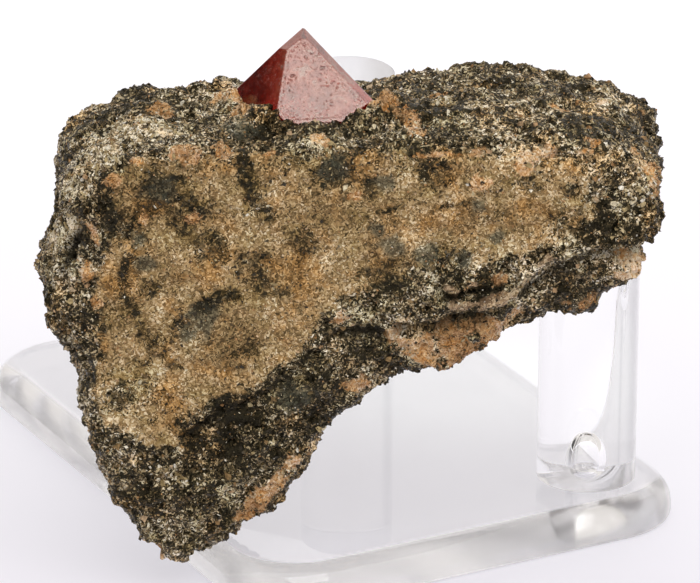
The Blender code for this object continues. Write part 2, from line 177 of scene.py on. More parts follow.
# Broad swells and hollows of the broken sides: x, y, z of the middle, radius, height
SWELLS = (
    (-23.3, -22.0, 58.0, 4.8, 2.1), (-18.0, -21.0, 58.5, 4.0, -1.5), (31.6, -43.0, 38.4, 5.0, 1.9),
    (25.5, -43.0, 35.0, 4.5, 0.9), (21.5, -43.2, 35.6, 3.0, 0.6), (13.5, -44.0, 31.0, 4.5, 1.5),
    (3.5, -43.6, 25.8, 4.6, 1.5), (-4.6, -43.4, 14.3, 3.5, 0.6), (-6.6, -43.0, 11.6, 4.0, 1.1),
    (44.0, -42.0, 50.4, 6.0, -4.2), (41.5, -42.5, 45.4, 4.5, -1.8), (38.8, -43.0, 42.0, 4.0, -0.8),
    (42.8, -40.0, 48.4, 3.6, -1.5), (15.5, -44.5, 31.5, 4.0, 0.9), (-2.5, -43.5, 17.5, 3.6, 0.7),
    (-35.4, -37.0, 33.5, 4.0, -1.0),
    (40.6, -23.0, 55.5, 4.5, 0.8), (-36.0, -40.0, 37.6, 6.0, -2.4), (-29.8, -44.0, 21.0, 4.5, -0.9),
    (-34.6, -27.0, 49.0, 5.0, -1.3), (-34.6, -36.0, 49.4, 5.4, -1.2), (-31.5, -40.0, 25.0, 5.0, -0.7),
    (-25.2, -42.6, 8.6, 4.5, -1.6), (-18.2, -43.5, 4.4, 4.2, 0.5), (-35.5, -36.0, 55.0, 4.5, 0.4),
    (6.0, -22.0, 61.0, 5.5, -1.4), (13.6, -22.0, 61.0, 4.5, 0.2), (21.5, -22.0, 61.0, 5.0, 1.4),
    (-12.0, -24.0, 60.0, 4.5, -0.4), (31.0, -22.0, 61.5, 6.0, -0.3),
    (-1.0, -43.6, 61.0, 3.6, 0.6), (-9.6, -34.6, 61.2, 3.4, 0.9), (-6.9, -39.6, 61.5, 3.0, 1.5),
)
# Where rock climbs round the crystal: x, y, radius, how far it rises
COLLAR = (
    (5.8, -39.5, 3.6, 2.7), (8.6, -37.4, 3.2, 1.6), (3.6, -41.2, 2.6, 1.8), (-2.2, -43.0, 2.6, 0.3),
    (-6.6, -40.8, 2.0, 0.9), (-11.2, -33.8, 2.8, 1.5), (-9.0, -37.6, 2.4, 0.4), (1.4, -43.0, 2.2, 0.6),
    (5.8, -37.4, 2.0, 0.6), (3.0, -40.8, 1.6, 0.7), (4.7, -37.8, 1.6, 0.7), (3.9, -39.4, 1.4, 0.5),
)
# White mica patches: x, y, z of the middle, radius
MICA_PATCHES = (
    (-31.0, -42.0, 46.4, 3.4), (-27.0, -43.0, 59.6, 4.6), (-23.5, -41.0, 60.0, 3.4),
    (-29.5, -44.0, 55.0, 3.4), (-31.5, -40.0, 57.5, 2.8), (-30.5, -45.0, 49.6, 2.2),
    (-18.6, -46.0, 17.4, 2.2), (-24.0, -45.0, 20.4, 1.6), (18.4, -38.0, 62.0, 1.9),
    (23.0, -36.8, 62.0, 2.0), (14.8, -36.0, 62.0, 1.5), (33.6, -32.0, 61.8, 2.2),
    (30.4, -38.2, 62.0, 1.3), (9.4, -33.4, 61.8, 1.2), (-28.0, -22.0, 46.0, 4.0),
    (4.0, -12.5, 54.0, 5.0), (39.0, -45.0, 57.2, 2.2),
    (-7.6, -48.0, 60.6, 1.2), (-8.4, -35.0, 62.2, 1.2),
    (-8.9, -45.4, 22.0, 1.0), (37.5, -46.5, 53.5, 2.6), (-27.0, -36.0, 60.5, 4.6), (-20.0, -39.5, 61.0, 3.8),
)
# Blue-grey spots in the sandy skin: x, y, z of the middle, radius
SLATE_SPOTS = (
    (18.8, -48.0, 53.2, 1.35), (20.9, -48.0, 49.1, 1.1), (17.1, -48.0, 46.0, 1.3),
    (6.4, -48.0, 50.2, 1.2), (8.2, -48.0, 47.9, 1.8), (1.4, -48.0, 57.8, 2.0),
    (7.2, -48.0, 56.1, 1.4), (-14.8, -48.0, 38.3, 2.2), (-16.4, -48.0, 36.4, 1.7),
    (-21.8, -48.0, 45.3, 1.5), (-22.4, -48.0, 48.4, 1.2), (-3.4, -47.0, 27.7, 2.4),
    (-19.8, -48.0, 55.0, 2.0), (12.2, -48.0, 46.9, 1.6), (-10.6, -42.0, 60.6, 2.4),
)
# Places where the skin is thin and dark grains show: x, z of the middle, radius
DARK_PATCHES = (
    (-19.8, 54.0, 3.4), (-16.6, 51.5, 2.6), (-27.6, 47.0, 2.6), (-24.0, 50.0, 2.4), (-21.2, 42.6, 1.6),
    (-2.0, 48.6, 2.2), (1.8, 57.0, 3.0), (5.2, 54.8, 1.6), (-13.6, 47.6, 2.8), (-9.0, 45.6, 2.0),
    (-6.6, 42.0, 1.8), (-20.4, 34.6, 3.0), (-17.6, 37.4, 2.0), (-24.6, 28.0, 2.0), (10.0, 43.6, 3.2),
    (15.4, 43.6, 3.4), (20.4, 44.8, 2.4), (6.0, 44.0, 2.2), (4.8, 40.8, 2.0), (30.4, 50.0, 3.2),
    (32.0, 54.0, 2.6), (28.4, 47.6, 2.4), (12.6, 58.4, 2.6), (24.8, 55.4, 1.4), (-12.0, 25.6, 2.6),
    (-16.0, 22.6, 2.6), (-9.0, 34.0, 1.4),
)
# Thin dark seams in the skin: half width, then x, z along the seam
DARK_SEAMS = (
    (0.9, ((-9.8, 60.6), (-9.6, 57.4), (-8.4, 54.0), (-6.8, 51.6))),
    (0.5, ((-23.8, 46.6), (-24.4, 44.0), (-24.2, 41.4), (-22.8, 39.0))),
    (0.22, ((6.2, 52.2), (8.6, 52.9), (10.2, 54.0))),
    (0.24, ((13.4, 52.9), (15.6, 53.2), (17.8, 53.6))),
    (0.8, ((-29.4, 50.0), (-29.2, 46.4), (-28.4, 43.4))),
    (0.8, ((-14.6, 40.0), (-12.6, 41.2), (-10.6, 41.4))),
)
# Undercut hollows below the ledges, also painted dark as shade in the rock's colour: half width, depth, then
# x, y, z along the hollow
UNDERCUTS = (
    (1.15, 2.0, ((9.3, -46.6, 36.5), (11.8, -46.8, 36.8), (14.3, -46.9, 37.2), (16.0, -47.0, 38.2),
                 (17.8, -47.0, 38.5), (19.4, -47.0, 38.2))),
    (0.55, 0.8, ((14.8, -47.5, 41.1), (15.9, -47.5, 41.1))),
    (0.42, 0.5, ((17.0, -47.5, 41.9), (20.4, -47.5, 42.1), (21.6, -47.5, 42.5))),
    (0.90, 0.9, ((1.8, -46.8, 36.2), (4.4, -46.8, 36.4), (6.8, -46.6, 35.6))),
    (1.4, 2.1, ((25.0, -47.0, 42.0), (28.6, -47.0, 44.8), (32.0, -46.8, 46.6), (37.0, -45.6, 47.2),
                (40.0, -43.0, 48.2))),
    (0.8, 0.7, ((-1.5, -47.0, 33.8), (-7.0, -47.2, 28.6), (-12.4, -47.4, 26.0), (-16.4, -47.6, 22.8))),
    (0.9, 0.8, ((-29.6, -46.4, 50.0), (-31.2, -45.0, 44.0), (-31.6, -44.6, 38.0), (-30.8, -45.0, 32.0))),
)


# --- small helpers ---------------------------------------------------------------------------

def select_only(obj):
    """Make one object the only selected and the active one."""
    bpy.ops.object.select_all(action="DESELECT")
    obj.select_set(True)
    bpy.context.view_layer.objects.active = obj


def added(name):
    """Name the object that an add operator has just made, and return it."""
    obj = bpy.context.active_object
    obj.name = obj.data.name = name
    select_only(obj)
    return obj


def select_in_edit(obj, kind, wanted):
    """In edit mode, select the vertices, edges or faces for which wanted() is true."""
    bpy.ops.mesh.select_mode(type=kind)
    bpy.ops.mesh.select_all(action="DESELECT")
    shape = bmesh.from_edit_mesh(obj.data)
    shape.normal_update()
    for item in {"VERT": shape.verts, "EDGE": shape.edges, "FACE": shape.faces}[kind]:
        item.select_set(bool(wanted(item)))
    shape.select_flush_mode()
    bmesh.update_edit_mesh(obj.data)


def settle(obj):
    """Put the object's place, turn and size into its mesh."""
    select_only(obj)
    bpy.ops.object.transform_apply(location=True, rotation=True, scale=True)


def apply_modifier(obj, kind, **settings):
    """Add a modifier with its settings and apply it at once."""
    modifier = obj.modifiers.new(kind.lower(), kind)
    for key, value in settings.items():
        setattr(modifier, key, value)
    select_only(obj)
    bpy.ops.object.modifier_apply(modifier=modifier.name)


def shade_smooth(obj, degrees):
    select_only(obj)
    bpy.ops.object.shade_smooth_by_angle(angle=math.radians(degrees))


def dress(obj, material, slot, *nodes):
    """Give a piece its finish, tie it to the model and hide the nodes it stands for."""
    obj.data.materials.clear()
    obj.data.materials.append(material)
    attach(obj, "root")
    if nodes:
        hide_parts(*nodes)


def smoothstep(low, high, value):
    """0 at low, 1 at high, with a soft start and end; low may be the larger."""
    t = np.clip((value - low) / (high - low), 0.0, 1.0)
    return t * t * (3.0 - 2.0 * t)


# --- materials -------------------------------------------------------------------------------

def hex_linear(code, alpha=1.0):
    """An sRGB hex colour as linear red, green, blue, alpha."""
    parts = [int(code[i:i + 2], 16) / 255 for i in (1, 3, 5)]
    return (*[c / 12.92 if c <= 0.04045 else ((c + 0.055) / 1.055) ** 2.4 for c in parts], alpha)


def add_node(tree, kind, settings=None, links=None):
    """Add a shader node.  Settings are properties, socket values or ramp stops; links feed it."""
    node = tree.nodes.new("ShaderNode" + kind)
    for key, value in (settings or {}).items():
        if key == "stops":
            while len(node.color_ramp.elements) < len(value):
                node.color_ramp.elements.new(0.5)
            for element, (place, code) in zip(node.color_ramp.elements, value):
                element.position = place
                element.color = hex_linear(code)
        elif isinstance(key, str) and hasattr(node, key):
            setattr(node, key, value)
        else:
            node.inputs[key].default_value = value
    for key, source in (links or {}).items():
        tree.links.new(getattr(source, "outputs", (source,))[0], node.inputs[key])
    return node


def new_material(name):
    made = bpy.data.materials.new(name)
    made.use_nodes = True
    made.node_tree.nodes.clear()
    return made, made.node_tree


def per_metre(size_mm):
    """Texture scale for a pattern whose cells are this many millimetres."""
    return 1.0 / (size_mm * MM)


def biotite_rock_material():
    """Biotite gneiss with an ochre weathered skin: broken faces of black mica, quartz and feldspar
    grains glitter like salt and pepper, and the skin is cemented sand with blue-grey stains."""
    made, tree = new_material("biotite_rock")
    place = add_node(tree, "TexCoord").outputs["Object"]
    # grains are 0.24 mm across, in clusters of about 0.6 mm; the finest dust is drawn this coarse to show
    ragged = add_node(tree, "TexNoise", {"Scale": per_metre(0.6), "Detail": 1.0}, {"Vector": place})
    pull = add_node(tree, "VectorMath", {"operation": "MULTIPLY_ADD", 1: (0.0010, 0.0010, 0.0010)},
                    {0: ragged.outputs["Color"], 2: place})
    grains = add_node(tree, "TexVoronoi", {"Scale": per_metre(0.24)}, {"Vector": pull})
    wide = add_node(tree, "TexVoronoi", {"Scale": per_metre(0.7)}, {"Vector": pull})
    chance = add_node(tree, "SeparateColor", None, {0: grains.outputs["Color"]})
    wide_chance = add_node(tree, "SeparateColor", None, {0: wide.outputs["Color"]})
    dust = add_node(tree, "TexNoise", {"Scale": per_metre(0.22), "Detail": 2.0, "Roughness": 0.7},
                    {"Vector": place})
    shares = {name: add_node(tree, "Attribute", {"attribute_name": name}).outputs["Fac"]
              for name in ("sand", "orange", "slate", "light", "dim", "crest", "hollow")}

    # broken rock
    tone = add_node(tree, "Math", {"operation": "MULTIPLY_ADD", 1: 0.66}, {0: chance, 2: shares["light"]})
    tone = add_node(tree, "Math", {"operation": "MULTIPLY_ADD", 1: 0.34}, {0: wide_chance, 2: tone})
    pepper = add_node(tree, "ValToRGB",
                      {"stops": ((0.10, "#070602"), (0.38, "#15130a"), (0.51, "#2f291a"),
                                 (0.61, "#61543d"), (0.72, "#978363"), (0.84, "#d3c5a4"),
                                 (0.97, "#fff6e2"))}, {0: tone})

    # sandy skin: khaki, peppered with dark grains that are thicker where the skin is worn
    tone = add_node(tree, "Math", {"operation": "MULTIPLY_ADD", 1: 0.60},
                    {0: chance.outputs[1], 2: shares["light"]})
    tone = add_node(tree, "Math", {"operation": "MULTIPLY_ADD", 1: 0.40}, {0: dust, 2: tone})
    sandy = add_node(tree, "ValToRGB",
                     {"stops": ((0.08, "#32281a"), (0.22, "#5c4a2f"), (0.40, "#846b48"),
                                (0.58, "#a2885e"), (0.76, "#c4aa82"), (0.95, "#f0e2c2"))}, {0: tone})
    worn = add_node(tree, "Math", {"operation": "MULTIPLY_ADD", 1: 0.34, 2: 0.08}, {0: shares["dim"]})
    worn = add_node(tree, "Math", {"operation": "SUBTRACT"}, {0: worn, 1: chance.outputs[2]})
    worn = add_node(tree, "MapRange", {"From Min": -0.06, "From Max": 0.10}, {0: worn})
    sandy = add_node(tree, "Mix", {"data_type": "RGBA", 7: hex_linear("#382d16")},
                     {0: worn, 6: sandy}).outputs[2]
    edge = add_node(tree, "Math", {"operation": "MULTIPLY_ADD", 1: 0.5},
                    {0: wide_chance.outputs[2], 2: shares["sand"]})
    skin = add_node(tree, "MapRange", {"From Min": 0.66, "From Max": 0.86}, {0: edge})
    colour = add_node(tree, "Mix", {"data_type": "RGBA"}, {0: skin, 6: pepper, 7: sandy})
    # iron warms some places, and others are olive grey
    warmth = add_node(tree, "TexNoise", {"Scale": per_metre(5.0), "Detail": 4.0, "Roughness": 0.65},
                      {"Vector": place})
    warmth = add_node(tree, "ValToRGB",
                      {"stops": ((0.36, "#e4e4d2"), (0.50, "#ffffff"), (0.64, "#ffe6c2"))}, {0: warmth})
    colour = add_node(tree, "Mix", {"data_type": "RGBA", "blend_type": "MULTIPLY", 0: 0.9},
                      {6: colour.outputs[2], 7: warmth})

    # iron-stained feldspar, crystal by crystal
    rust = add_node(tree, "ValToRGB",
                    {"stops": ((0.08, "#43301c"), (0.26, "#86623b"), (0.44, "#b48b5e"), (0.66, "#d0ab7e"),
                               (0.90, "#f2dfc0"))}, {0: tone})
    blush = add_node(tree, "TexNoise", {"Scale": per_metre(1.6), "Detail": 3.0, "Roughness": 0.6},
                     {"Vector": place})
    blush = add_node(tree, "ValToRGB",
                     {"stops": ((0.36, "#f4d6a8"), (0.50, "#ffffff"), (0.64, "#f6ecec"))}, {0: blush})
    rust = add_node(tree, "Mix", {"data_type": "RGBA", "blend_type": "MULTIPLY", 0: 0.9},
                    {6: rust, 7: blush}).outputs[2]
    edge = add_node(tree, "Math", {"operation": "MULTIPLY_ADD", 1: 0.7},
                    {0: wide_chance.outputs[1], 2: shares["orange"]})
    stained = add_node(tree, "MapRange", {"From Min": 0.74, "From Max": 1.06}, {0: edge})
    colour = add_node(tree, "Mix", {"data_type": "RGBA"}, {0: stained, 6: colour.outputs[2], 7: rust})
    # pinkish cream crests of the ledges
    cream = add_node(tree, "ValToRGB", {"stops": ((0.2, "#6a5440"), (0.5, "#b69b7a"), (0.85, "#eedbba"))},
                     {0: tone})
    edge = add_node(tree, "Math", {"operation": "MULTIPLY_ADD", 1: 0.6},
                    {0: wide_chance, 2: shares["crest"]})
    broken = add_node(tree, "MapRange", {"From Min": 0.60, "From Max": 0.95}, {0: edge})
    colour = add_node(tree, "Mix", {"data_type": "RGBA"}, {0: broken, 6: colour.outputs[2], 7: cream})
    slate = add_node(tree, "ValToRGB",
                     {"stops": ((0.15, "#161712"), (0.45, "#3f4036"), (0.75, "#6b6955"),
                                (1.0, "#c6c2a8"))}, {0: tone})
    colour = add_node(tree, "Mix", {"data_type": "RGBA"},
                      {0: shares["slate"], 6: colour.outputs[2], 7: slate})
    # painted shade: the undercut hollows below the ledges are darkened towards near black
    painted_undercut_shade = add_node(tree, "ValToRGB", {"stops": ((0.0, "#ffffff"), (1.0, "#17140f"))},
                     {0: shares["hollow"]})
    colour = add_node(tree, "Mix", {"data_type": "RGBA", "blend_type": "MULTIPLY", 0: 1.0},
                      {6: colour.outputs[2], 7: painted_undercut_shade})

    # each grain is a little facet turned its own way, so some of them catch the light
    lean = add_node(tree, "VectorMath", {"operation": "SUBTRACT", 1: (0.5, 0.5, 0.5)},
                    {0: grains.outputs["Color"]})
    lean_by = add_node(tree, "MapRange", {"To Min": 1.3, "To Max": 0.75}, {0: skin})
    lean = add_node(tree, "VectorMath", {"operation": "SCALE"}, {0: lean, "Scale": lean_by})
    surface = add_node(tree, "NewGeometry").outputs["Normal"]
    facet = add_node(tree, "VectorMath", {"operation": "ADD"}, {0: surface, 1: lean})
    facet = add_node(tree, "VectorMath", {"operation": "NORMALIZE"}, {0: facet})
    bump = add_node(tree, "Bump", {"Strength": 0.9, "Distance": 0.00012},
                    {"Height": dust, "Normal": facet})
    rough = add_node(tree, "Math", {"operation": "MULTIPLY_ADD", 1: 0.30, 2: 0.26},
                     {0: chance.outputs[2]})
    rough = add_node(tree, "Math", {"operation": "MULTIPLY_ADD", 1: 0.34}, {0: skin, 2: rough})
    shader = add_node(tree, "BsdfPrincipled",
                      {"IOR": 1.56, "Specular IOR Level": 0.3, "Specular Tint": hex_linear("#e6d6ae")},
                      {"Base Color": colour.outputs[2], "Roughness": rough, "Normal": bump})
    add_node(tree, "OutputMaterial", None, {"Surface": shader})
    return made


def flake_material(name, stops, roughness, ior=1.58):
    """Cleavage flakes and grains: every one has its own tone, and its flat face glints."""
    made, tree = new_material(name)
    place = add_node(tree, "TexCoord").outputs["Object"]
    tone = add_node(tree, "Attribute", {"attribute_name": "tone"}).outputs["Fac"]
    colour = add_node(tree, "ValToRGB", {"stops": stops}, {0: tone})
    mottle = add_node(tree, "TexNoise", {"Scale": per_metre(0.3), "Detail": 2.0}, {"Vector": place})
    shade = add_node(tree, "ValToRGB", {"stops": ((0.3, "#8c8c8c"), (0.7, "#ffffff"))}, {0: mottle})
    colour = add_node(tree, "Mix", {"data_type": "RGBA", "blend_type": "MULTIPLY", 0: 0.85},
                      {6: colour, 7: shade})
    rough = add_node(tree, "Math", {"operation": "MULTIPLY_ADD", 1: 0.3, 2: roughness}, {0: mottle})
    shader = add_node(tree, "BsdfPrincipled", {"IOR": ior, "Specular Tint": hex_linear("#f2dfc0")},
                      {"Base Color": colour.outputs[2], "Roughness": rough})
    add_node(tree, "OutputMaterial", None, {"Surface": shader})
    return made


def clear_acrylic_material():
    """Cast acrylic: water clear through its polished faces, softer through its hand-polished rim."""
    made, tree = new_material("clear_acrylic")
    place = add_node(tree, "TexCoord").outputs["Object"]
    smears = add_node(tree, "TexNoise", {"Scale": per_metre(9.0), "Detail": 6.0, "Roughness": 0.65},
                      {"Vector": place})
    smears = add_node(tree, "MapRange", {"From Min": 0.5, "From Max": 0.8, "To Max": 0.05}, {0: smears})
    height = add_node(tree, "SeparateXYZ", None, {0: place}).outputs["Z"]
    rim = add_node(tree, "MapRange",
                   {"From Min": (PLATE_THICKNESS - 0.1) * MM, "From Max": (PLATE_THICKNESS - 0.6) * MM,
                    "To Max": RIM_ROUGHNESS}, {0: height})
    rough = add_node(tree, "Math", {"operation": "ADD"}, {0: smears, 1: rim})
    # sawn tops of the posts are not polished
    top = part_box(POSTS[0])[1].z
    sawn = add_node(tree, "MapRange",
                    {"From Min": top - 0.4 * MM, "From Max": top - 0.2 * MM,
                     "To Max": POST_TOP_ROUGHNESS}, {0: height})
    rough = add_node(tree, "Math", {"operation": "ADD"}, {0: rough, 1: sawn})
    shader = add_node(tree, "BsdfPrincipled",
                      {"Transmission Weight": 1.0, "IOR": ACRYLIC_IOR,
                       "Base Color": hex_linear("#ffffff")}, {"Roughness": rough})
    tint = add_node(tree, "VolumeAbsorption", {"Density": 0.8, "Color": hex_linear("#e6dfe6")})
    add_node(tree, "OutputMaterial", None, {"Surface": shader, "Volume": tint})
    return made


def red_zircon_material():
    """Zircon: very high gloss, blood red inside, natural faces slightly etched and pitted."""
    made, tree = new_material("red_zircon")
    place = add_node(tree, "TexCoord").outputs["Object"]
    etch = add_node(tree, "TexNoise", {"Scale": per_metre(1.3), "Detail": 6.0, "Roughness": 0.75},
                    {"Vector": place})
    flecks = add_node(tree, "TexVoronoi", {"Scale": per_metre(0.38), "Randomness": 1.0},
                      {"Vector": place})
    deep = add_node(tree, "MapRange", {"From Min": 0.10, "From Max": 0.30}, {0: flecks})
    relief = add_node(tree, "Math", {"operation": "MULTIPLY_ADD", 1: 0.3}, {0: deep, 2: etch})
    etched = add_node(tree, "Attribute", {"attribute_name": "etched"}).outputs["Fac"]
    bump = add_node(tree, "Bump", {"Distance": 0.0001}, {"Height": relief, "Strength": etched})
    # the red attribute holds the crystal's own mottling together with painted light and shade on its faces
    red = add_node(tree, "Attribute", {"attribute_name": "red"}).outputs["Fac"]
    frost = add_node(tree, "Attribute", {"attribute_name": "frost"}).outputs["Fac"]
    rough = add_node(tree, "MapRange", {"From Min": 0.3, "From Max": 0.7, "To Min": 0.06, "To Max": 0.20},
                     {0: etch})
    rough = add_node(tree, "Math", {"operation": "MULTIPLY_ADD", 1: 0.16}, {0: frost, 2: rough})
    red = add_node(tree, "Math", {"operation": "MULTIPLY_ADD", 1: 0.25}, {0: etch, 2: red})
    tint = add_node(tree, "ValToRGB",
                    {"stops": ((0.10, "#581207"), (0.35, "#a02810"), (0.62, "#e0523a"), (0.82, "#ff8060"),
                               (1.0, "#ffc8b4"))}, {0: red})
    tint = add_node(tree, "Mix", {"data_type": "RGBA", 7: hex_linear("#ffd0b8")},
                    {0: frost, 6: tint}).outputs[2]
    shader = add_node(tree, "BsdfPrincipled",
                      {"Transmission Weight": 0.81, "IOR": ZIRCON_IOR, "Specular IOR Level": 0.57,
                       "Specular Tint": hex_linear("#fff7ee")},
                      {"Base Color": tint, "Roughness": rough, "Normal": bump})
    inside = add_node(tree, "VolumeAbsorption", {"Density": 130.0, "Color": hex_linear("#e0331c")})
    add_node(tree, "OutputMaterial", None, {"Surface": shader, "Volume": inside})
    return made


# --- clear stand -----------------------------------------------------------------------------

def upright(edge):
    """True for an edge that runs up and down."""
    ends = edge.verts[1].co - edge.verts[0].co
    return abs(ends.z) > 0.9 * ends.length


def make_plate():
    """The base: a slab with round corners, its upper rim polished round."""
    low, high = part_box("stand_base")
    bpy.ops.mesh.primitive_cube_add(size=1.0, location=(low + high) / 2, rotation=(0, 0, STAND_TURN))
    plate = added("clear_stand")
    plate.scale = (PLATE_WIDTH * MM, PLATE_DEPTH * MM, high.z - low.z)
    bpy.ops.object.transform_apply(location=False, rotation=False, scale=True)
    half = (high.z - low.z) / 2
    bpy.ops.object.mode_set(mode="EDIT")
    select_in_edit(plate, "EDGE", upright)
    bpy.ops.mesh.bevel(offset=PLATE_CORNER_RADIUS * MM, segments=PLATE_CORNER_STEPS, profile=0.5)
    for side, width, steps in ((1, PLATE_TOP_ROUND, PLATE_TOP_STEPS),
                               (-1, PLATE_FOOT_ROUND, PLATE_FOOT_STEPS)):
        select_in_edit(plate, "EDGE", lambda e: all(abs(v.co.z - side * half) < 1e-6 for v in e.verts))
        bpy.ops.mesh.bevel(offset=width * MM, segments=steps, profile=0.5)
    bpy.ops.object.mode_set(mode="OBJECT")
    settle(plate)
    return plate


def make_rod(node):
    """A post's rod with broken rims; its foot is let into the plate so that the two weld."""
    low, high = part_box(node)
    radius, foot = (high.x - low.x) / 2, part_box("stand_base")[1].z - WELD_OVERLAP * MM
    depth = high.z - foot
    middle = ((low.x + high.x) / 2, (low.y + high.y) / 2, foot + depth / 2)
    bpy.ops.mesh.primitive_cylinder_add(vertices=POST_SIDES, radius=radius, depth=depth, location=middle)
    rod = added(node + "_rod")
    bpy.ops.object.mode_set(mode="EDIT")
    select_in_edit(rod, "EDGE", lambda e: abs(e.verts[0].co.z + e.verts[1].co.z - depth) < 1e-6)
    bpy.ops.mesh.bevel(offset=POST_EDGE * MM, segments=4, profile=0.5)
    bpy.ops.object.mode_set(mode="OBJECT")
    settle(rod)
    return rod


def make_drill(node):
    """The egg-shaped hole that is left in the foot of a post."""
    low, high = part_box(node)
    foot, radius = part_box("stand_base")[1].z, HOLE_DIAMETER / 2 * MM
    middle = Vector(((low.x + high.x) / 2, (low.y + high.y) / 2, foot + HOLE_WIDEST * MM))
    bpy.ops.mesh.primitive_cylinder_add(vertices=HOLE_SIDES, radius=radius,
                                        depth=HOLE_STRAIGHT * MM, location=middle)
    drill = added(node + "_drill")
    bpy.ops.object.mode_set(mode="EDIT")
    for side, reach in ((1, HOLE_UP * MM), (-1, HOLE_DOWN * MM)):
        select_in_edit(drill, "FACE", lambda f: f.normal.z * side > 0.99)
        for step in range(1, HOLE_STEPS):
            now, before = (math.pi / 2 * k / HOLE_STEPS for k in (step, step - 1))
            lift = side * reach * (math.sin(now) - math.sin(before))
            shrink = math.cos(now) / math.cos(before)
            bpy.ops.mesh.extrude_region_move(TRANSFORM_OT_translate={"value": (0.0, 0.0, lift)})
            bpy.ops.transform.resize(value=(shrink, shrink, 1.0), center_override=middle)
        bpy.ops.mesh.merge(type="CENTER")
    bpy.ops.object.mode_set(mode="OBJECT")
    settle(drill)
    return drill


def make_stand(material):
    """Plate and posts, solvent welded into one clear body."""
    stand = make_plate()
    for node in POSTS:
        for operation, tool in (("UNION", make_rod(node)), ("DIFFERENCE", make_drill(node))):
            apply_modifier(stand, "BOOLEAN", operation=operation, solver="EXACT", object=tool)
            bpy.data.objects.remove(tool)
    shade_smooth(stand, degrees=40)
    # flat faces stay flat right up to their rounded rims
    apply_modifier(stand, "WEIGHTED_NORMAL", mode="FACE_AREA", keep_sharp=True)
    dress(stand, material, "clear_acrylic", "stand_base", *POSTS)


# --- rock ------------------------------------------------------------------------------------

def copy_of_node(node, name):
    """A new piece with the node's shape, its loose triangles merged."""
    piece = bpy.data.objects.new(name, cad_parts[node].data.copy())
    bpy.context.scene.collection.objects.link(piece)
    select_only(piece)
    bpy.ops.object.mode_set(mode="EDIT")
    bpy.ops.mesh.select_all(action="SELECT")
    bpy.ops.mesh.remove_doubles(threshold=1e-6)
    bpy.ops.object.mode_set(mode="OBJECT")
    return piece


def read_numbers(layer, key, each=1):
    """The numbers that a layer of a mesh holds, a row of so many for each item."""
    numbers = np.empty(len(layer) * each, np.float32)
    layer.foreach_get(key, numbers)
    return numbers.astype(float).reshape(-1, each)


def read_points(mesh):
    """The vertices of a mesh, in millimetres."""
    return read_numbers(mesh.vertices, "co", 3) / MM


def box_mm(node):
    """Lowest and highest corner of a node, in millimetres."""
    return [np.array(corner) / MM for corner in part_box(node)]


def post_round(node):
    """Middle, radius and top of a post, in millimetres."""
    low, high = box_mm(node)
    return (low + high)[:2] / 2, (high - low)[0] / 2, high[2]


def noise_field(points, size, shift):
    """Smooth noise from -1 to 1 whose lumps are about size millimetres."""
    moved = points / size + shift
    return np.array([noise.noise(p) for p in moved.tolist()])


def facet_field(points, size, shift, lift, tilt):
    """Broken grains: each cell stands at its own height and leans its own way."""
    heights = []
    for p in (points / size + shift).tolist():
        middle = noise.voronoi(p)[1][0]
        chance = noise.cell_vector(middle * 53.0)
        away = Vector(p) - middle
        lean = Vector((chance.y - 0.5, chance.z - 0.5, chance.x - 0.5)) * 2.0
        heights.append(lift * (2.0 * chance.x - 1.0) + tilt * lean.dot(away))
    return np.array(heights) * size


def away_from(points, middle, radius):
    """Distance of each point to a place, in radii."""
    return np.linalg.norm(points - middle, axis=1) / radius


def distance_to_path(points, path):
    """Distance of each point to a line through the places of a path."""
    path = np.array(path)
    best = np.full(len(points), 1e9)
    for start, end in zip(path, path[1:]):
        along = end - start
        t = np.clip((points - start) @ along / (along @ along), 0.0, 1.0)
        best = np.minimum(best, np.linalg.norm(points - start - t[:, None] * along, axis=1))
    return best


def inside_outline(points, outline):
    """Distance to a closed outline in x and z: above zero inside it."""
    flat = points[:, (0, 2)]
    corners = np.array(outline + outline[:1])
    inside = np.zeros(len(flat), bool)
    for start, end in zip(corners, corners[1:]):
        along = end - start
        crosses = (start[1] > flat[:, 1]) != (end[1] > flat[:, 1])
        slope = along[0] / (along[1] if along[1] else 1e-9)
        inside ^= crosses & (flat[:, 0] < start[0] + (flat[:, 1] - start[1]) * slope)
    best = distance_to_path(flat, corners)
    return np.where(inside, best, -best)


def spot_share(points, spots, ragged):
    """Share of each point in the nearest round spot, with a ragged edge."""
    share = np.zeros(len(points))
    for *middle, radius in spots:
        away = away_from(points, middle, radius)
        share = np.maximum(share, smoothstep(1.15, 0.65, away + 0.45 * ragged))
    return share


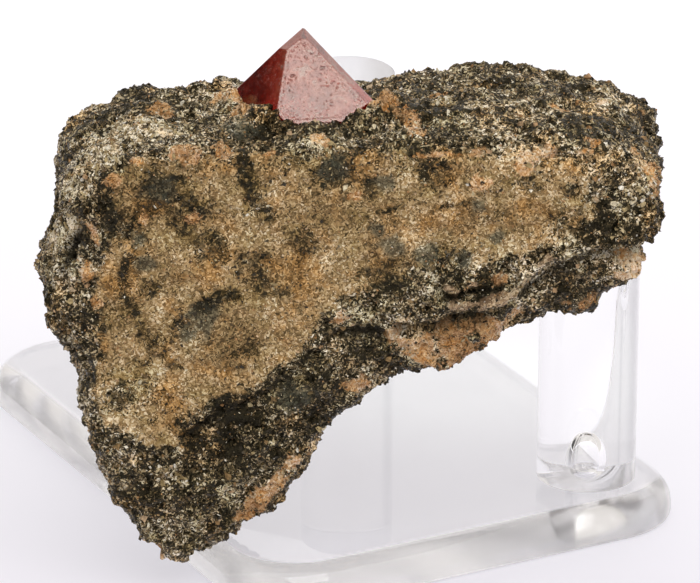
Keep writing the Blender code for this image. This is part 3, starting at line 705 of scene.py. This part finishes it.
def rock_zones(points, normals):
    """How much of each finish a point of the rock has, from 0 to 1, and how light it is."""
    ragged = noise_field(points, size=2.6, shift=5.0)
    fine = noise_field(points, size=1.1, shift=15.0)
    drift = noise_field(points, size=7.0, shift=9.0)
    edge = inside_outline(points, SAND_EDGE) + 1.1 * ragged + 0.5 * fine
    sand = smoothstep(-1.0, 1.2, edge) * smoothstep(*FRONT_BEGINS, points[:, 1])
    sand *= smoothstep(0.2, 0.6, -normals[:, 1])
    # worn patches of skin are left on the back of the slab too
    back = smoothstep(0.4, 0.7, normals[:, 1]) * smoothstep(0.0, 0.35, drift + 0.3 * ragged)
    sand = np.maximum(sand, back)
    orange = spot_share(points, [s[:4] for s in FELDSPAR_SPOTS], 1.3 * ragged + 0.9 * fine)
    for half_width, _, path in FELDSPAR_VEINS:
        vein = smoothstep(1.5, 0.5, distance_to_path(points, path) / half_width + 0.45 * ragged)
        orange = np.maximum(orange, vein)
    pale = spot_share(points, MICA_PATCHES, drift)
    slate = 0.78 * spot_share(points, SLATE_SPOTS, 0.9 * ragged + 0.9 * fine)
    thin_skin = [(x, SKIN_Y, z, radius) for x, z, radius in DARK_PATCHES]
    dim = 0.62 * spot_share(points, thin_skin, 1.5 * ragged + 1.2 * fine)
    for half_width, path in DARK_SEAMS:
        away = distance_to_path(points, [(x, SKIN_Y, z) for x, z in path]) / half_width
        dim = np.maximum(dim, smoothstep(1.6, 0.5, away + 0.6 * fine))
    crest = np.zeros(len(points))
    for half_width, _, path in LEDGE_CRESTS:
        share = smoothstep(1.5, 0.5, distance_to_path(points, path) / half_width + 1.3 * fine)
        crest = np.maximum(crest, 0.84 * share)
    light = 0.30 * drift + 0.20 * ragged + 0.16 * fine
    light = light * (1.0 - 0.30 * sand) + 0.26 * pale - 0.24 * dim
    low = smoothstep(*LOW_PART, points[:, 2]) * (1.0 - sand) * (1.0 - orange)
    top = smoothstep(*SKIN_TOP, points[:, 2]) * sand
    light = light - 0.03 * low - 0.04 * top + 0.08 * orange
    patches = noise_field(points * (0.6, 1.0, 1.0), size=4.2, shift=33.0)
    dim = np.clip(dim + 0.30 * top + 0.5 * smoothstep(0.10, 0.6, patches), 0.0, 1.0)
    # the skin is palest low on the left and out to the right
    bright = np.maximum(smoothstep(6.0, 16.0, points[:, 0]), smoothstep(36.0, 28.0, points[:, 2]))
    light = light + 0.10 * sand * bright
    sand = sand * (1.0 - crest) * (1.0 - 0.62 * dim)
    return {"sand": sand, "orange": orange, "pale": pale, "slate": slate, "light": light, "dim": dim,
            "crest": crest}


def rock_relief(points, zones):
    """Height in millimetres that the surface stands out of the plain slab."""
    smooth = 1.0 - 0.80 * zones["sand"]
    height = facet_field(points, size=3.1, shift=0.0, lift=0.06, tilt=0.18) * smooth - 0.10
    grains = facet_field(points, size=1.25, shift=7.0, lift=0.14, tilt=0.34)
    height += grains * (0.25 + 0.75 * smooth)
    height += 0.20 * (0.5 + 0.5 * smooth) * noise_field(points, size=0.8, shift=3.0)
    beds = noise_field(points * (0.35, 1.0, 1.0), size=2.1, shift=2.0)
    height += 0.22 * zones["sand"] * beds
    pits = noise_field(points, size=1.9, shift=21.0)
    height -= 0.5 * smoothstep(0.30, 0.62, pits) * (0.55 + 0.45 * smooth)
    for *middle, radius, lift in FELDSPAR_SPOTS:
        height += 0.7 * lift * smoothstep(1.15, 0.5, away_from(points, middle, radius))
    for *middle, radius, lift in SWELLS:
        height += lift * smoothstep(1.0, 0.0, away_from(points, middle, radius))
    for half_width, lift, path in FELDSPAR_VEINS + LEDGE_CRESTS:
        height += lift * smoothstep(1.7, 0.4, distance_to_path(points, path) / half_width)
    # the share of each undercut, which the rock's colour paints dark as shade
    hollow = np.zeros(len(points))
    for half_width, depth, path in UNDERCUTS:
        share = smoothstep(1.6, 0.2, distance_to_path(points, path) / half_width)
        height -= depth * share
        hollow = np.maximum(hollow, share)
    return height, hollow


def collar_rise(points):
    """How far the rock beside the crystal rises, in millimetres."""
    rise = np.zeros(len(points))
    for *middle, radius, lift in COLLAR:
        rise += lift * smoothstep(1.0, 0.0, away_from(points[:, :2], middle, radius))
    return rise * smoothstep(*TOP_BEGINS, points[:, 2])


def crystal_planes():
    """Outward normals and distances of the crystal's flat faces, in millimetres."""
    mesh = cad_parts["zircon_crystal"].data
    planes = {}
    for face in mesh.polygons:
        key = tuple(round(c, 2) for c in face.normal)
        planes[key] = (np.array(face.normal), float(face.normal.dot(face.center)) / MM)
    normals = np.array([n for n, _ in planes.values()])
    offsets = np.array([d for _, d in planes.values()])
    return normals, offsets


def keep_clear(points):
    """Move points of the rock out of the crystal, the plate and the posts."""
    normals, offsets = crystal_planes()
    out_of = points @ normals.T - offsets
    nearest = out_of.argmax(axis=1)
    depth = CLEAR_OF_NEIGHBOUR - out_of.max(axis=1)
    points = points + np.where(depth > 0.0, depth, 0.0)[:, None] * normals[nearest]
    cos, sin = math.cos(STAND_TURN), math.sin(STAND_TURN)
    across = points[:, 0] * cos + points[:, 1] * sin
    along = points[:, 1] * cos - points[:, 0] * sin
    over = abs(across) < PLATE_WIDTH / 2 + BESIDE_PLATE
    over &= abs(along) < PLATE_DEPTH / 2 + BESIDE_PLATE
    lowest = box_mm("stand_base")[1][2] + CLEAR_OF_NEIGHBOUR
    points[:, 2] = np.where(over & (points[:, 2] < lowest), lowest, points[:, 2])
    for node in POSTS:
        centre, radius, top = post_round(node)
        top += CLEAR_OF_NEIGHBOUR
        away = np.linalg.norm(points[:, :2] - centre, axis=1)
        inside = (away < radius + BESIDE_POST) & (points[:, 2] < top)
        # the rock leans sideways on the left post, and stays above the others
        if node == "post_left":
            push = np.where(inside, (radius + BESIDE_POST) / np.maximum(away, 1e-6), 1.0)
            points[:, :2] = centre + (points[:, :2] - centre) * push[:, None]
        else:
            points[:, 2] = np.where(inside, top, points[:, 2])
    return points


def write_attribute(mesh, name, values, domain="POINT"):
    """Keep one number for each point or face, which a material can read."""
    layer = mesh.attributes.new(name, "FLOAT", domain)
    layer.data.foreach_set("value", np.asarray(values, np.float32))


def make_rock(material):
    """The slab with its relief, and the share of each finish on every point."""
    rock = copy_of_node("matrix", "rock_matrix")
    apply_modifier(rock, "REMESH", mode="VOXEL", voxel_size=ROCK_VOXEL * MM, adaptivity=0.0)
    apply_modifier(rock, "SMOOTH", factor=0.5, iterations=12)
    mesh = rock.data
    points, normals = read_points(mesh), read_numbers(mesh.vertex_normals, "vector", 3)
    zones = rock_zones(points, normals)
    height, hollow = rock_relief(points, zones)
    points = points + normals * height[:, None]
    points[:, 2] += collar_rise(points)
    points = keep_clear(points)
    mesh.vertices.foreach_set("co", (points * MM).ravel())
    mesh.update()
    for name, values in zones.items():
        write_attribute(mesh, name, values)
    # the undercut share, which the rock's colour paints dark as shade
    write_attribute(mesh, "hollow", hollow)
    shade_smooth(rock, degrees=38)
    dress(rock, material, "biotite_rock", "matrix")
    return rock


# --- loose grains on the rock -----------------------------------------------------------------

def scatter_places(rock, count, weight):
    """Random places on the rock, more where weight is high: points, normals, a vertex beside each."""
    mesh = rock.data
    mesh.calc_loop_triangles()
    corners = np.empty(len(mesh.loop_triangles) * 3, np.int32)
    mesh.loop_triangles.foreach_get("vertices", corners)
    corners = corners.reshape(-1, 3)
    points = read_points(mesh)
    tri = points[corners]
    cross = np.cross(tri[:, 1] - tri[:, 0], tri[:, 2] - tri[:, 0])
    area = np.linalg.norm(cross, axis=1)
    share = area * weight[corners].mean(axis=1)
    picked = RNG.choice(len(corners), size=count, p=share / share.sum())
    u, v = RNG.random(count), RNG.random(count)
    flip = u + v > 1.0
    u[flip], v[flip] = 1.0 - u[flip], 1.0 - v[flip]
    where = tri[picked, 0] + u[:, None] * (tri[picked, 1] - tri[picked, 0])
    where += v[:, None] * (tri[picked, 2] - tri[picked, 0])
    return where, cross[picked] / area[picked, None], corners[picked, 0]


def random_frames(normals, spread):
    """Square frames whose third axis leans away from each normal by a random amount."""
    count = len(normals)
    axis = normals + spread * RNG.normal(size=(count, 3))
    axis /= np.linalg.norm(axis, axis=1)[:, None]
    side = np.cross(axis, RNG.normal(size=(count, 3)))
    side /= np.linalg.norm(side, axis=1)[:, None]
    return np.stack((side, np.cross(axis, side), axis), axis=2)


def joined_copies(name, model_points, model_faces, centres, frames, sizes, jitter, tones):
    """One mesh of many copies of a small closed shape, each stretched, bent and turned its own way."""
    count, corners = len(centres), len(model_points)
    shapes = np.broadcast_to(model_points, (count, corners, 3)) + jitter
    shapes = shapes * sizes[:, None, :]
    shapes = np.einsum("nij,nkj->nki", frames, shapes) + centres[:, None, :]
    points = shapes.reshape(-1, 3)
    starts = np.arange(count) * corners
    faces = [row for face in model_faces for row in (starts[:, None] + np.array(face)).tolist()]
    mesh = bpy.data.meshes.new(name)
    mesh.from_pydata((points * MM).tolist(), [], faces)
    write_attribute(mesh, "tone", np.tile(tones, len(model_faces)), "FACE")
    obj = bpy.data.objects.new(name, mesh)
    bpy.context.scene.collection.objects.link(obj)
    return obj


def prism_model(sides):
    """A flat prism with unit radius and unit thickness: points and faces, outward."""
    ring = [(math.cos(2 * math.pi * i / sides), math.sin(2 * math.pi * i / sides)) for i in range(sides)]
    points = [(x, y, -0.5) for x, y in ring] + [(x, y, 0.5) for x, y in ring]
    faces = [tuple(range(sides))[::-1], tuple(range(sides, 2 * sides))]
    faces += [(i, (i + 1) % sides, sides + (i + 1) % sides, sides + i) for i in range(sides)]
    return np.array(points), faces


def bed_copies(name, model, places, spread, sizes, jitter, sunk, tone_from, material):
    """Set a small shape into the rock at each place, leaning its own way, all as one piece."""
    centres, normals, corner = places
    frames = random_frames(normals, spread)
    low, high, size = sunk
    centres = centres + normals * (RNG.uniform(low, high, len(centres)) * size)[:, None]
    tones = tone_from(corner, RNG.random(len(centres)))
    obj = joined_copies(name, *model, centres, frames, sizes, jitter, tones)
    dress(obj, material, "biotite_rock")


def make_flakes(rock, name, kind, weight, tone_from, material, sides=4):
    """Mica flakes: thin uneven prisms bedded in the surface."""
    count, size, thickness, spread = kind
    places = scatter_places(rock, count, weight)
    jitter = np.zeros((count, 2 * sides, 3))
    jitter[:, :sides, :2] = jitter[:, sides:, :2] = RNG.normal(0.0, 0.16, (count, sides, 2))
    width = size[0] + (size[1] - size[0]) * RNG.random(count) ** 2.2
    sizes = np.stack((width, width * RNG.uniform(0.45, 1.0, count), RNG.uniform(*thickness, count)), axis=1)
    bed_copies(name, prism_model(sides), places, spread, sizes, jitter, (-0.08, 0.05, 1.0), tone_from,
               material)


def make_grains(rock, name, kind, weight, tone_from, material):
    """Blocky grains of quartz and feldspar, half sunk in the surface."""
    count, size = kind
    places = scatter_places(rock, count, weight)
    model = np.array([(x, y, z) for z in (-1, 1) for x, y in ((-1, -1), (1, -1), (1, 1), (-1, 1))]) * 0.58
    faces = [(3, 2, 1, 0), (4, 5, 6, 7), (0, 1, 5, 4), (1, 2, 6, 5), (2, 3, 7, 6), (3, 0, 4, 7)]
    jitter = RNG.normal(0.0, 0.14, (count, 8, 3))
    width = size[0] + (size[1] - size[0]) * RNG.random(count) ** 2.0
    sizes = width[:, None] * RNG.uniform(0.6, 1.0, (count, 3))
    bed_copies(name, (model, faces), places, 0.9, sizes, jitter, (-0.25, 0.1, width), tone_from, material)


def away_from_stand(rock):
    """Zero close to the crystal, the plate and the posts, where a grain would cut into them."""
    points = read_points(rock.data)
    normals, offsets = crystal_planes()
    weight = smoothstep(0.5, 1.0, (points @ normals.T - offsets).max(axis=1))
    weight *= smoothstep(*GRAIN_ROOM, points[:, 2] - box_mm("stand_base")[1][2])
    for node in POSTS:
        centre, radius, top = post_round(node)
        beside = smoothstep(*GRAIN_ROOM, np.linalg.norm(points[:, :2] - centre, axis=1) - radius)
        weight *= np.maximum(beside, smoothstep(*GRAIN_ROOM, points[:, 2] - top))
    return weight


def scatter_on_rock(rock):
    """Loose flakes and grains, each kind where the rock has it."""
    zones = {name: read_numbers(rock.data.attributes[name].data, "value").ravel()
             for name in ("sand", "orange", "pale", "light", "crest", "hollow")}
    free = away_from_stand(rock)
    broken = (1.0 - 0.93 * zones["sand"]) * (1.0 - 0.4 * zones["crest"]) * free
    calm = 1.0 - 0.75 * zones["orange"]
    # fewer grains in the undercuts, so that their painted shade stays dark
    open_air = 1.0 - 0.85 * zones["hollow"]

    dark = flake_material("black_mica", ((0.0, "#050504"), (0.50, "#0f0e0a"), (0.74, "#211d13"),
                                         (0.90, "#463b26"), (1.0, "#7d6b48")), 0.20)
    silver = flake_material("pale_mica", ((0.0, "#5a4a2d"), (0.30, "#8c774e"), (0.60, "#c0ab7c"),
                                          (0.85, "#e8dbb8"), (1.0, "#fdf8ea")), 0.22)
    blocky = flake_material("quartz_and_feldspar", ((0.0, "#3b3020"), (0.30, "#6d5a3d"),
                                                    (0.55, "#96794f"), (0.75, "#b58859"),
                                                    (1.0, "#e0cba9")), 0.40, 1.54)

    def as_the_rock(corner, chance):
        return np.clip(chance + 0.8 * zones["light"][corner], 0.0, 1.0)

    make_flakes(rock, "black_mica_flakes", BLACK_FLAKES, broken * calm * (1.0 - 0.6 * zones["pale"]),
                lambda corner, chance: chance ** 1.5, dark)
    bright = broken * calm * open_air * np.clip(0.35 + zones["light"] * 1.8, 0.05, 2.0)
    make_flakes(rock, "pale_mica_flakes", PALE_FLAKES, bright, lambda corner, chance: chance, silver)
    glints = (broken * calm + 0.16 * zones["sand"] * free) * open_air
    make_flakes(rock, "mica_glints", GLINTS, glints, lambda corner, chance: 0.35 + 0.65 * chance, silver)
    make_flakes(rock, "mica_books", BOOKS, broken * open_air * (0.04 + zones["pale"]),
                lambda corner, chance: 0.25 + 0.75 * chance, silver, sides=5)
    some = broken * (0.5 + 1.5 * zones["orange"]) + 0.60 * zones["sand"] * free
    make_grains(rock, "feldspar_grains", GRAINS, some * open_air, as_the_rock, blocky)
    make_grains(rock, "large_feldspar_grains", LARGE_GRAINS,
                broken * open_air * np.clip(0.3 + zones["light"], 0.03, 1.0),
                lambda corner, chance: 0.35 + 0.65 * chance, blocky)


# --- crystal ---------------------------------------------------------------------------------

def crystal_block(normals, offsets):
    """The crystal, cut face by face from a block."""
    low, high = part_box("zircon_crystal")
    bpy.ops.mesh.primitive_cube_add(size=0.06, location=(low + high) / 2)
    block = added("zircon")
    settle(block)
    bpy.ops.object.mode_set(mode="EDIT")
    for normal, offset in zip(normals, offsets):
        bpy.ops.mesh.select_all(action="SELECT")
        bpy.ops.mesh.bisect(plane_co=tuple(normal * offset * MM), plane_no=tuple(normal),
                            use_fill=True, clear_outer=True)
    bpy.ops.object.mode_set(mode="OBJECT")
    return block


def crystal_colour(points, face, inside_front, wall, names, pits):
    """How light the red is, from 0 to 1, with painted light and shade in it: painted shade behind the left
    face, on the upright walls and in the pits, a painted orange glow along the left face's front edge that
    is brighter higher up, a painted light shoulder and a painted dark brow.
    """
    cloud = noise_field(points, size=2.4, shift=52.0)
    fleck = noise_field(points, size=0.7, shift=61.0)
    painted_edge_glow = smoothstep(4.6, 0.2, inside_front + 0.9 * cloud)
    high = smoothstep(60.5, 66.5, points[:, 2])
    red = 0.60 + 0.45 * cloud + 0.26 * fleck - 0.26 * pits
    red = np.where(face == names["left"], 0.18 + painted_edge_glow * (0.30 + 0.20 * high) + 0.20 * fleck, red)
    red = np.where(face == names["shoulder"], 0.66 + 0.08 * fleck, red)
    red = np.where(face == names["brow"], 0.15, red)
    return np.clip(np.where(wall, 0.0, red), 0.0, 1.0)


def make_zircon(material):
    """The crystal with its growth steps, the groove along its band, and its etch pits."""
    normals, offsets = crystal_planes()
    names = {name: int(np.argmax(normals @ np.array(way))) for name, way in FACE_WAYS.items()}
    zircon = crystal_block(normals, offsets)
    apply_modifier(zircon, "REMESH", mode="VOXEL", voxel_size=CRYSTAL_VOXEL * MM, adaptivity=0.0)
    mesh = zircon.data
    points = read_points(mesh)
    out_of = points @ normals.T - offsets
    order = np.argsort(out_of, axis=1)
    face, second = order[:, -1], order[:, -2]
    ordered = np.sort(out_of, axis=1)
    from_edge = ordered[:, -1] - ordered[:, -2]
    points = points - out_of.max(axis=1)[:, None] * normals[face]
    front = face == names["front"]
    # pits are thick in some places and rare in others
    thick = smoothstep(-0.5, 0.2, noise_field(points, size=2.6, shift=12.0))
    calm = np.where(front, 1.0, 0.45)
    pits = smoothstep(0.24, 0.44, noise_field(points, size=0.34, shift=31.0)) * thick * calm
    frost = smoothstep(0.24, 0.46, noise_field(points, size=0.32, shift=71.0))
    frost *= np.where(front, 1.0, 0.25)
    frost *= smoothstep(-0.1, 0.35, noise_field(points, size=3.0, shift=83.0))
    waves = 0.012 * noise_field(points, size=1.7, shift=44.0)
    step = np.where(front, GROWTH_STEP * smoothstep(0.30, 0.40, from_edge), 0.0)
    seam = (front & (second == names["band"])) | ((face == names["band"]) & (second == names["front"]))
    groove = np.where(seam, smoothstep(0.10, 0.02, from_edge), 0.0)
    lift = (step + waves - PIT_DEPTH * pits) * smoothstep(0.1, 0.4, from_edge) - GROOVE_DEPTH * groove
    wall = abs(normals[face, 2]) < 0.1
    red = crystal_colour(points, face, -out_of[:, names["front"]], wall, names, pits)
    points = points + lift[:, None] * normals[face]
    mesh.vertices.foreach_set("co", (points * MM).ravel())
    mesh.update()
    # painted shade: the red is darkened in the groove along the band
    write_attribute(mesh, "red", red * (1.0 - 0.8 * groove))
    write_attribute(mesh, "frost", frost)
    write_attribute(mesh, "etched", np.where(front, 0.65, 0.30))
    shade_smooth(zircon, degrees=20)
    dress(zircon, material, "red_zircon", "zircon_crystal")


# --- studio ----------------------------------------------------------------------------------

def make_floor():
    """Pale matt paper whose colour and glow are painted lighter towards the back and in a pool under the
    clear plate.
    """
    bpy.ops.mesh.primitive_plane_add(size=6.0, location=(0.0, 1.2, -FLOOR_GAP * MM))
    floor = added("floor")
    settle(floor)
    made, tree = new_material("pale_paper")
    place = add_node(tree, "TexCoord").outputs["Object"]
    depth = add_node(tree, "SeparateXYZ", None, {0: place})
    # painted light: the paper's colour and glow get lighter towards the back
    painted_floor_light = add_node(tree, "MapRange", {"From Min": FLOOR_FADE[0], "From Max": FLOOR_FADE[1]},
                    {0: depth.outputs["Y"]})
    # painted pool of light: the paper is lighter under the middle of the clear plate, where the plate
    # gathers light
    away = add_node(tree, "VectorMath", {"operation": "DISTANCE", 1: GATHERED_LIGHT}, {0: place})
    painted_light_pool = add_node(tree, "MapRange",
                    {"interpolation_type": "SMOOTHSTEP", "From Max": GATHERED_REACH, "To Min": 0.80,
                     "To Max": 0.0}, {0: away.outputs["Value"]})
    painted_floor_light = add_node(tree, "Math", {"operation": "ADD", "use_clamp": True}, {0: painted_floor_light, 1: painted_light_pool})
    sweep = add_node(tree, "ValToRGB", {"stops": ((0.0, "#959398"), (1.0, "#a4a4a7"))}, {0: painted_floor_light})
    shader = add_node(tree, "BsdfPrincipled",
                      {"Roughness": 0.6, "IOR": 1.3, "Emission Strength": FLOOR_GLOW},
                      {"Base Color": sweep, "Emission Color": sweep})
    add_node(tree, "OutputMaterial", None, {"Surface": shader})
    floor.data.materials.append(made)


def area_light(name, place, aim, size, power):
    data = bpy.data.lights.new(name, "AREA")
    data.shape = "RECTANGLE"
    data.size, data.size_y = size
    data.energy = power
    light = bpy.data.objects.new(name, data)
    light.location = place
    light.rotation_euler = (Vector(aim) - Vector(place)).to_track_quat("-Z", "Y").to_euler()
    bpy.context.scene.collection.objects.link(light)
    return light


def make_lights():
    """A large soft key light over the camera, a light for the paper, and a white tent all round."""
    area_light("key_softbox", place=(0.15, -0.35, 0.52), aim=(0.0, -0.02, 0.04), size=(0.48, 0.34),
               power=1.6)
    sweep = area_light("back_sweep", place=(0.15, 0.55, 0.55), aim=(0.0, 0.25, 0.0), size=(0.9, 0.5),
                       power=0.8)
    # it lights the paper only, and makes no hot spots in the clear rims
    sweep.visible_transmission = False
    world = bpy.data.worlds.new("light_tent")
    world.use_nodes = True
    tree = world.node_tree
    way = add_node(tree, "TexCoord").outputs["Generated"]
    along = add_node(tree, "VectorMath", {"operation": "DOT_PRODUCT", 1: DARK_SIDE}, {0: way})
    open_side = add_node(tree, "MapRange",
                         {"From Min": 0.92, "From Max": 0.985, "To Min": 1.0, "To Max": 0.03},
                         {0: along.outputs["Value"]})
    sky = add_node(tree, "Mix", {"data_type": "RGBA", 6: hex_linear("#000000"), 7: hex_linear("#fffaf6")},
                   {0: open_side})
    background = tree.nodes["Background"]
    tree.links.new(sky.outputs[2], background.inputs["Color"])
    background.inputs["Strength"].default_value = WORLD_STRENGTH
    bpy.context.scene.world = world


def make_camera():
    data = bpy.data.cameras.new("camera")
    data.sensor_width = SENSOR_WIDTH_MM
    data.lens = LENS_MM
    data.clip_start, data.clip_end = 0.05, 20.0
    camera = bpy.data.objects.new("camera", data)
    tilt = Matrix.Rotation(math.pi / 2 - CAMERA_ELEVATION, 4, "X")
    roll = Matrix.Rotation(CAMERA_ROLL, 4, "Z")
    back = Vector((0.0, -math.cos(CAMERA_ELEVATION), math.sin(CAMERA_ELEVATION)))
    place = Vector(CAMERA_TARGET) * MM + back * CAMERA_DISTANCE * MM
    camera.matrix_world = Matrix.Translation(place) @ tilt @ roll
    bpy.context.scene.collection.objects.link(camera)
    bpy.context.scene.camera = camera


def build():
    make_camera()
    make_stand(clear_acrylic_material())
    rock = make_rock(biotite_rock_material())
    scatter_on_rock(rock)
    make_zircon(red_zircon_material())
    make_floor()
    make_lights()
    # light finds its way through the clear stand only after many turns
    light_paths = bpy.context.scene.cycles
    light_paths.max_bounces = light_paths.transmission_bounces = CLEAR_BOUNCES
    light_paths.glossy_bounces = GLOSSY_BOUNCES
    view = bpy.context.scene.view_settings
    view.view_transform = "Standard"
    view.look = "None"


build()
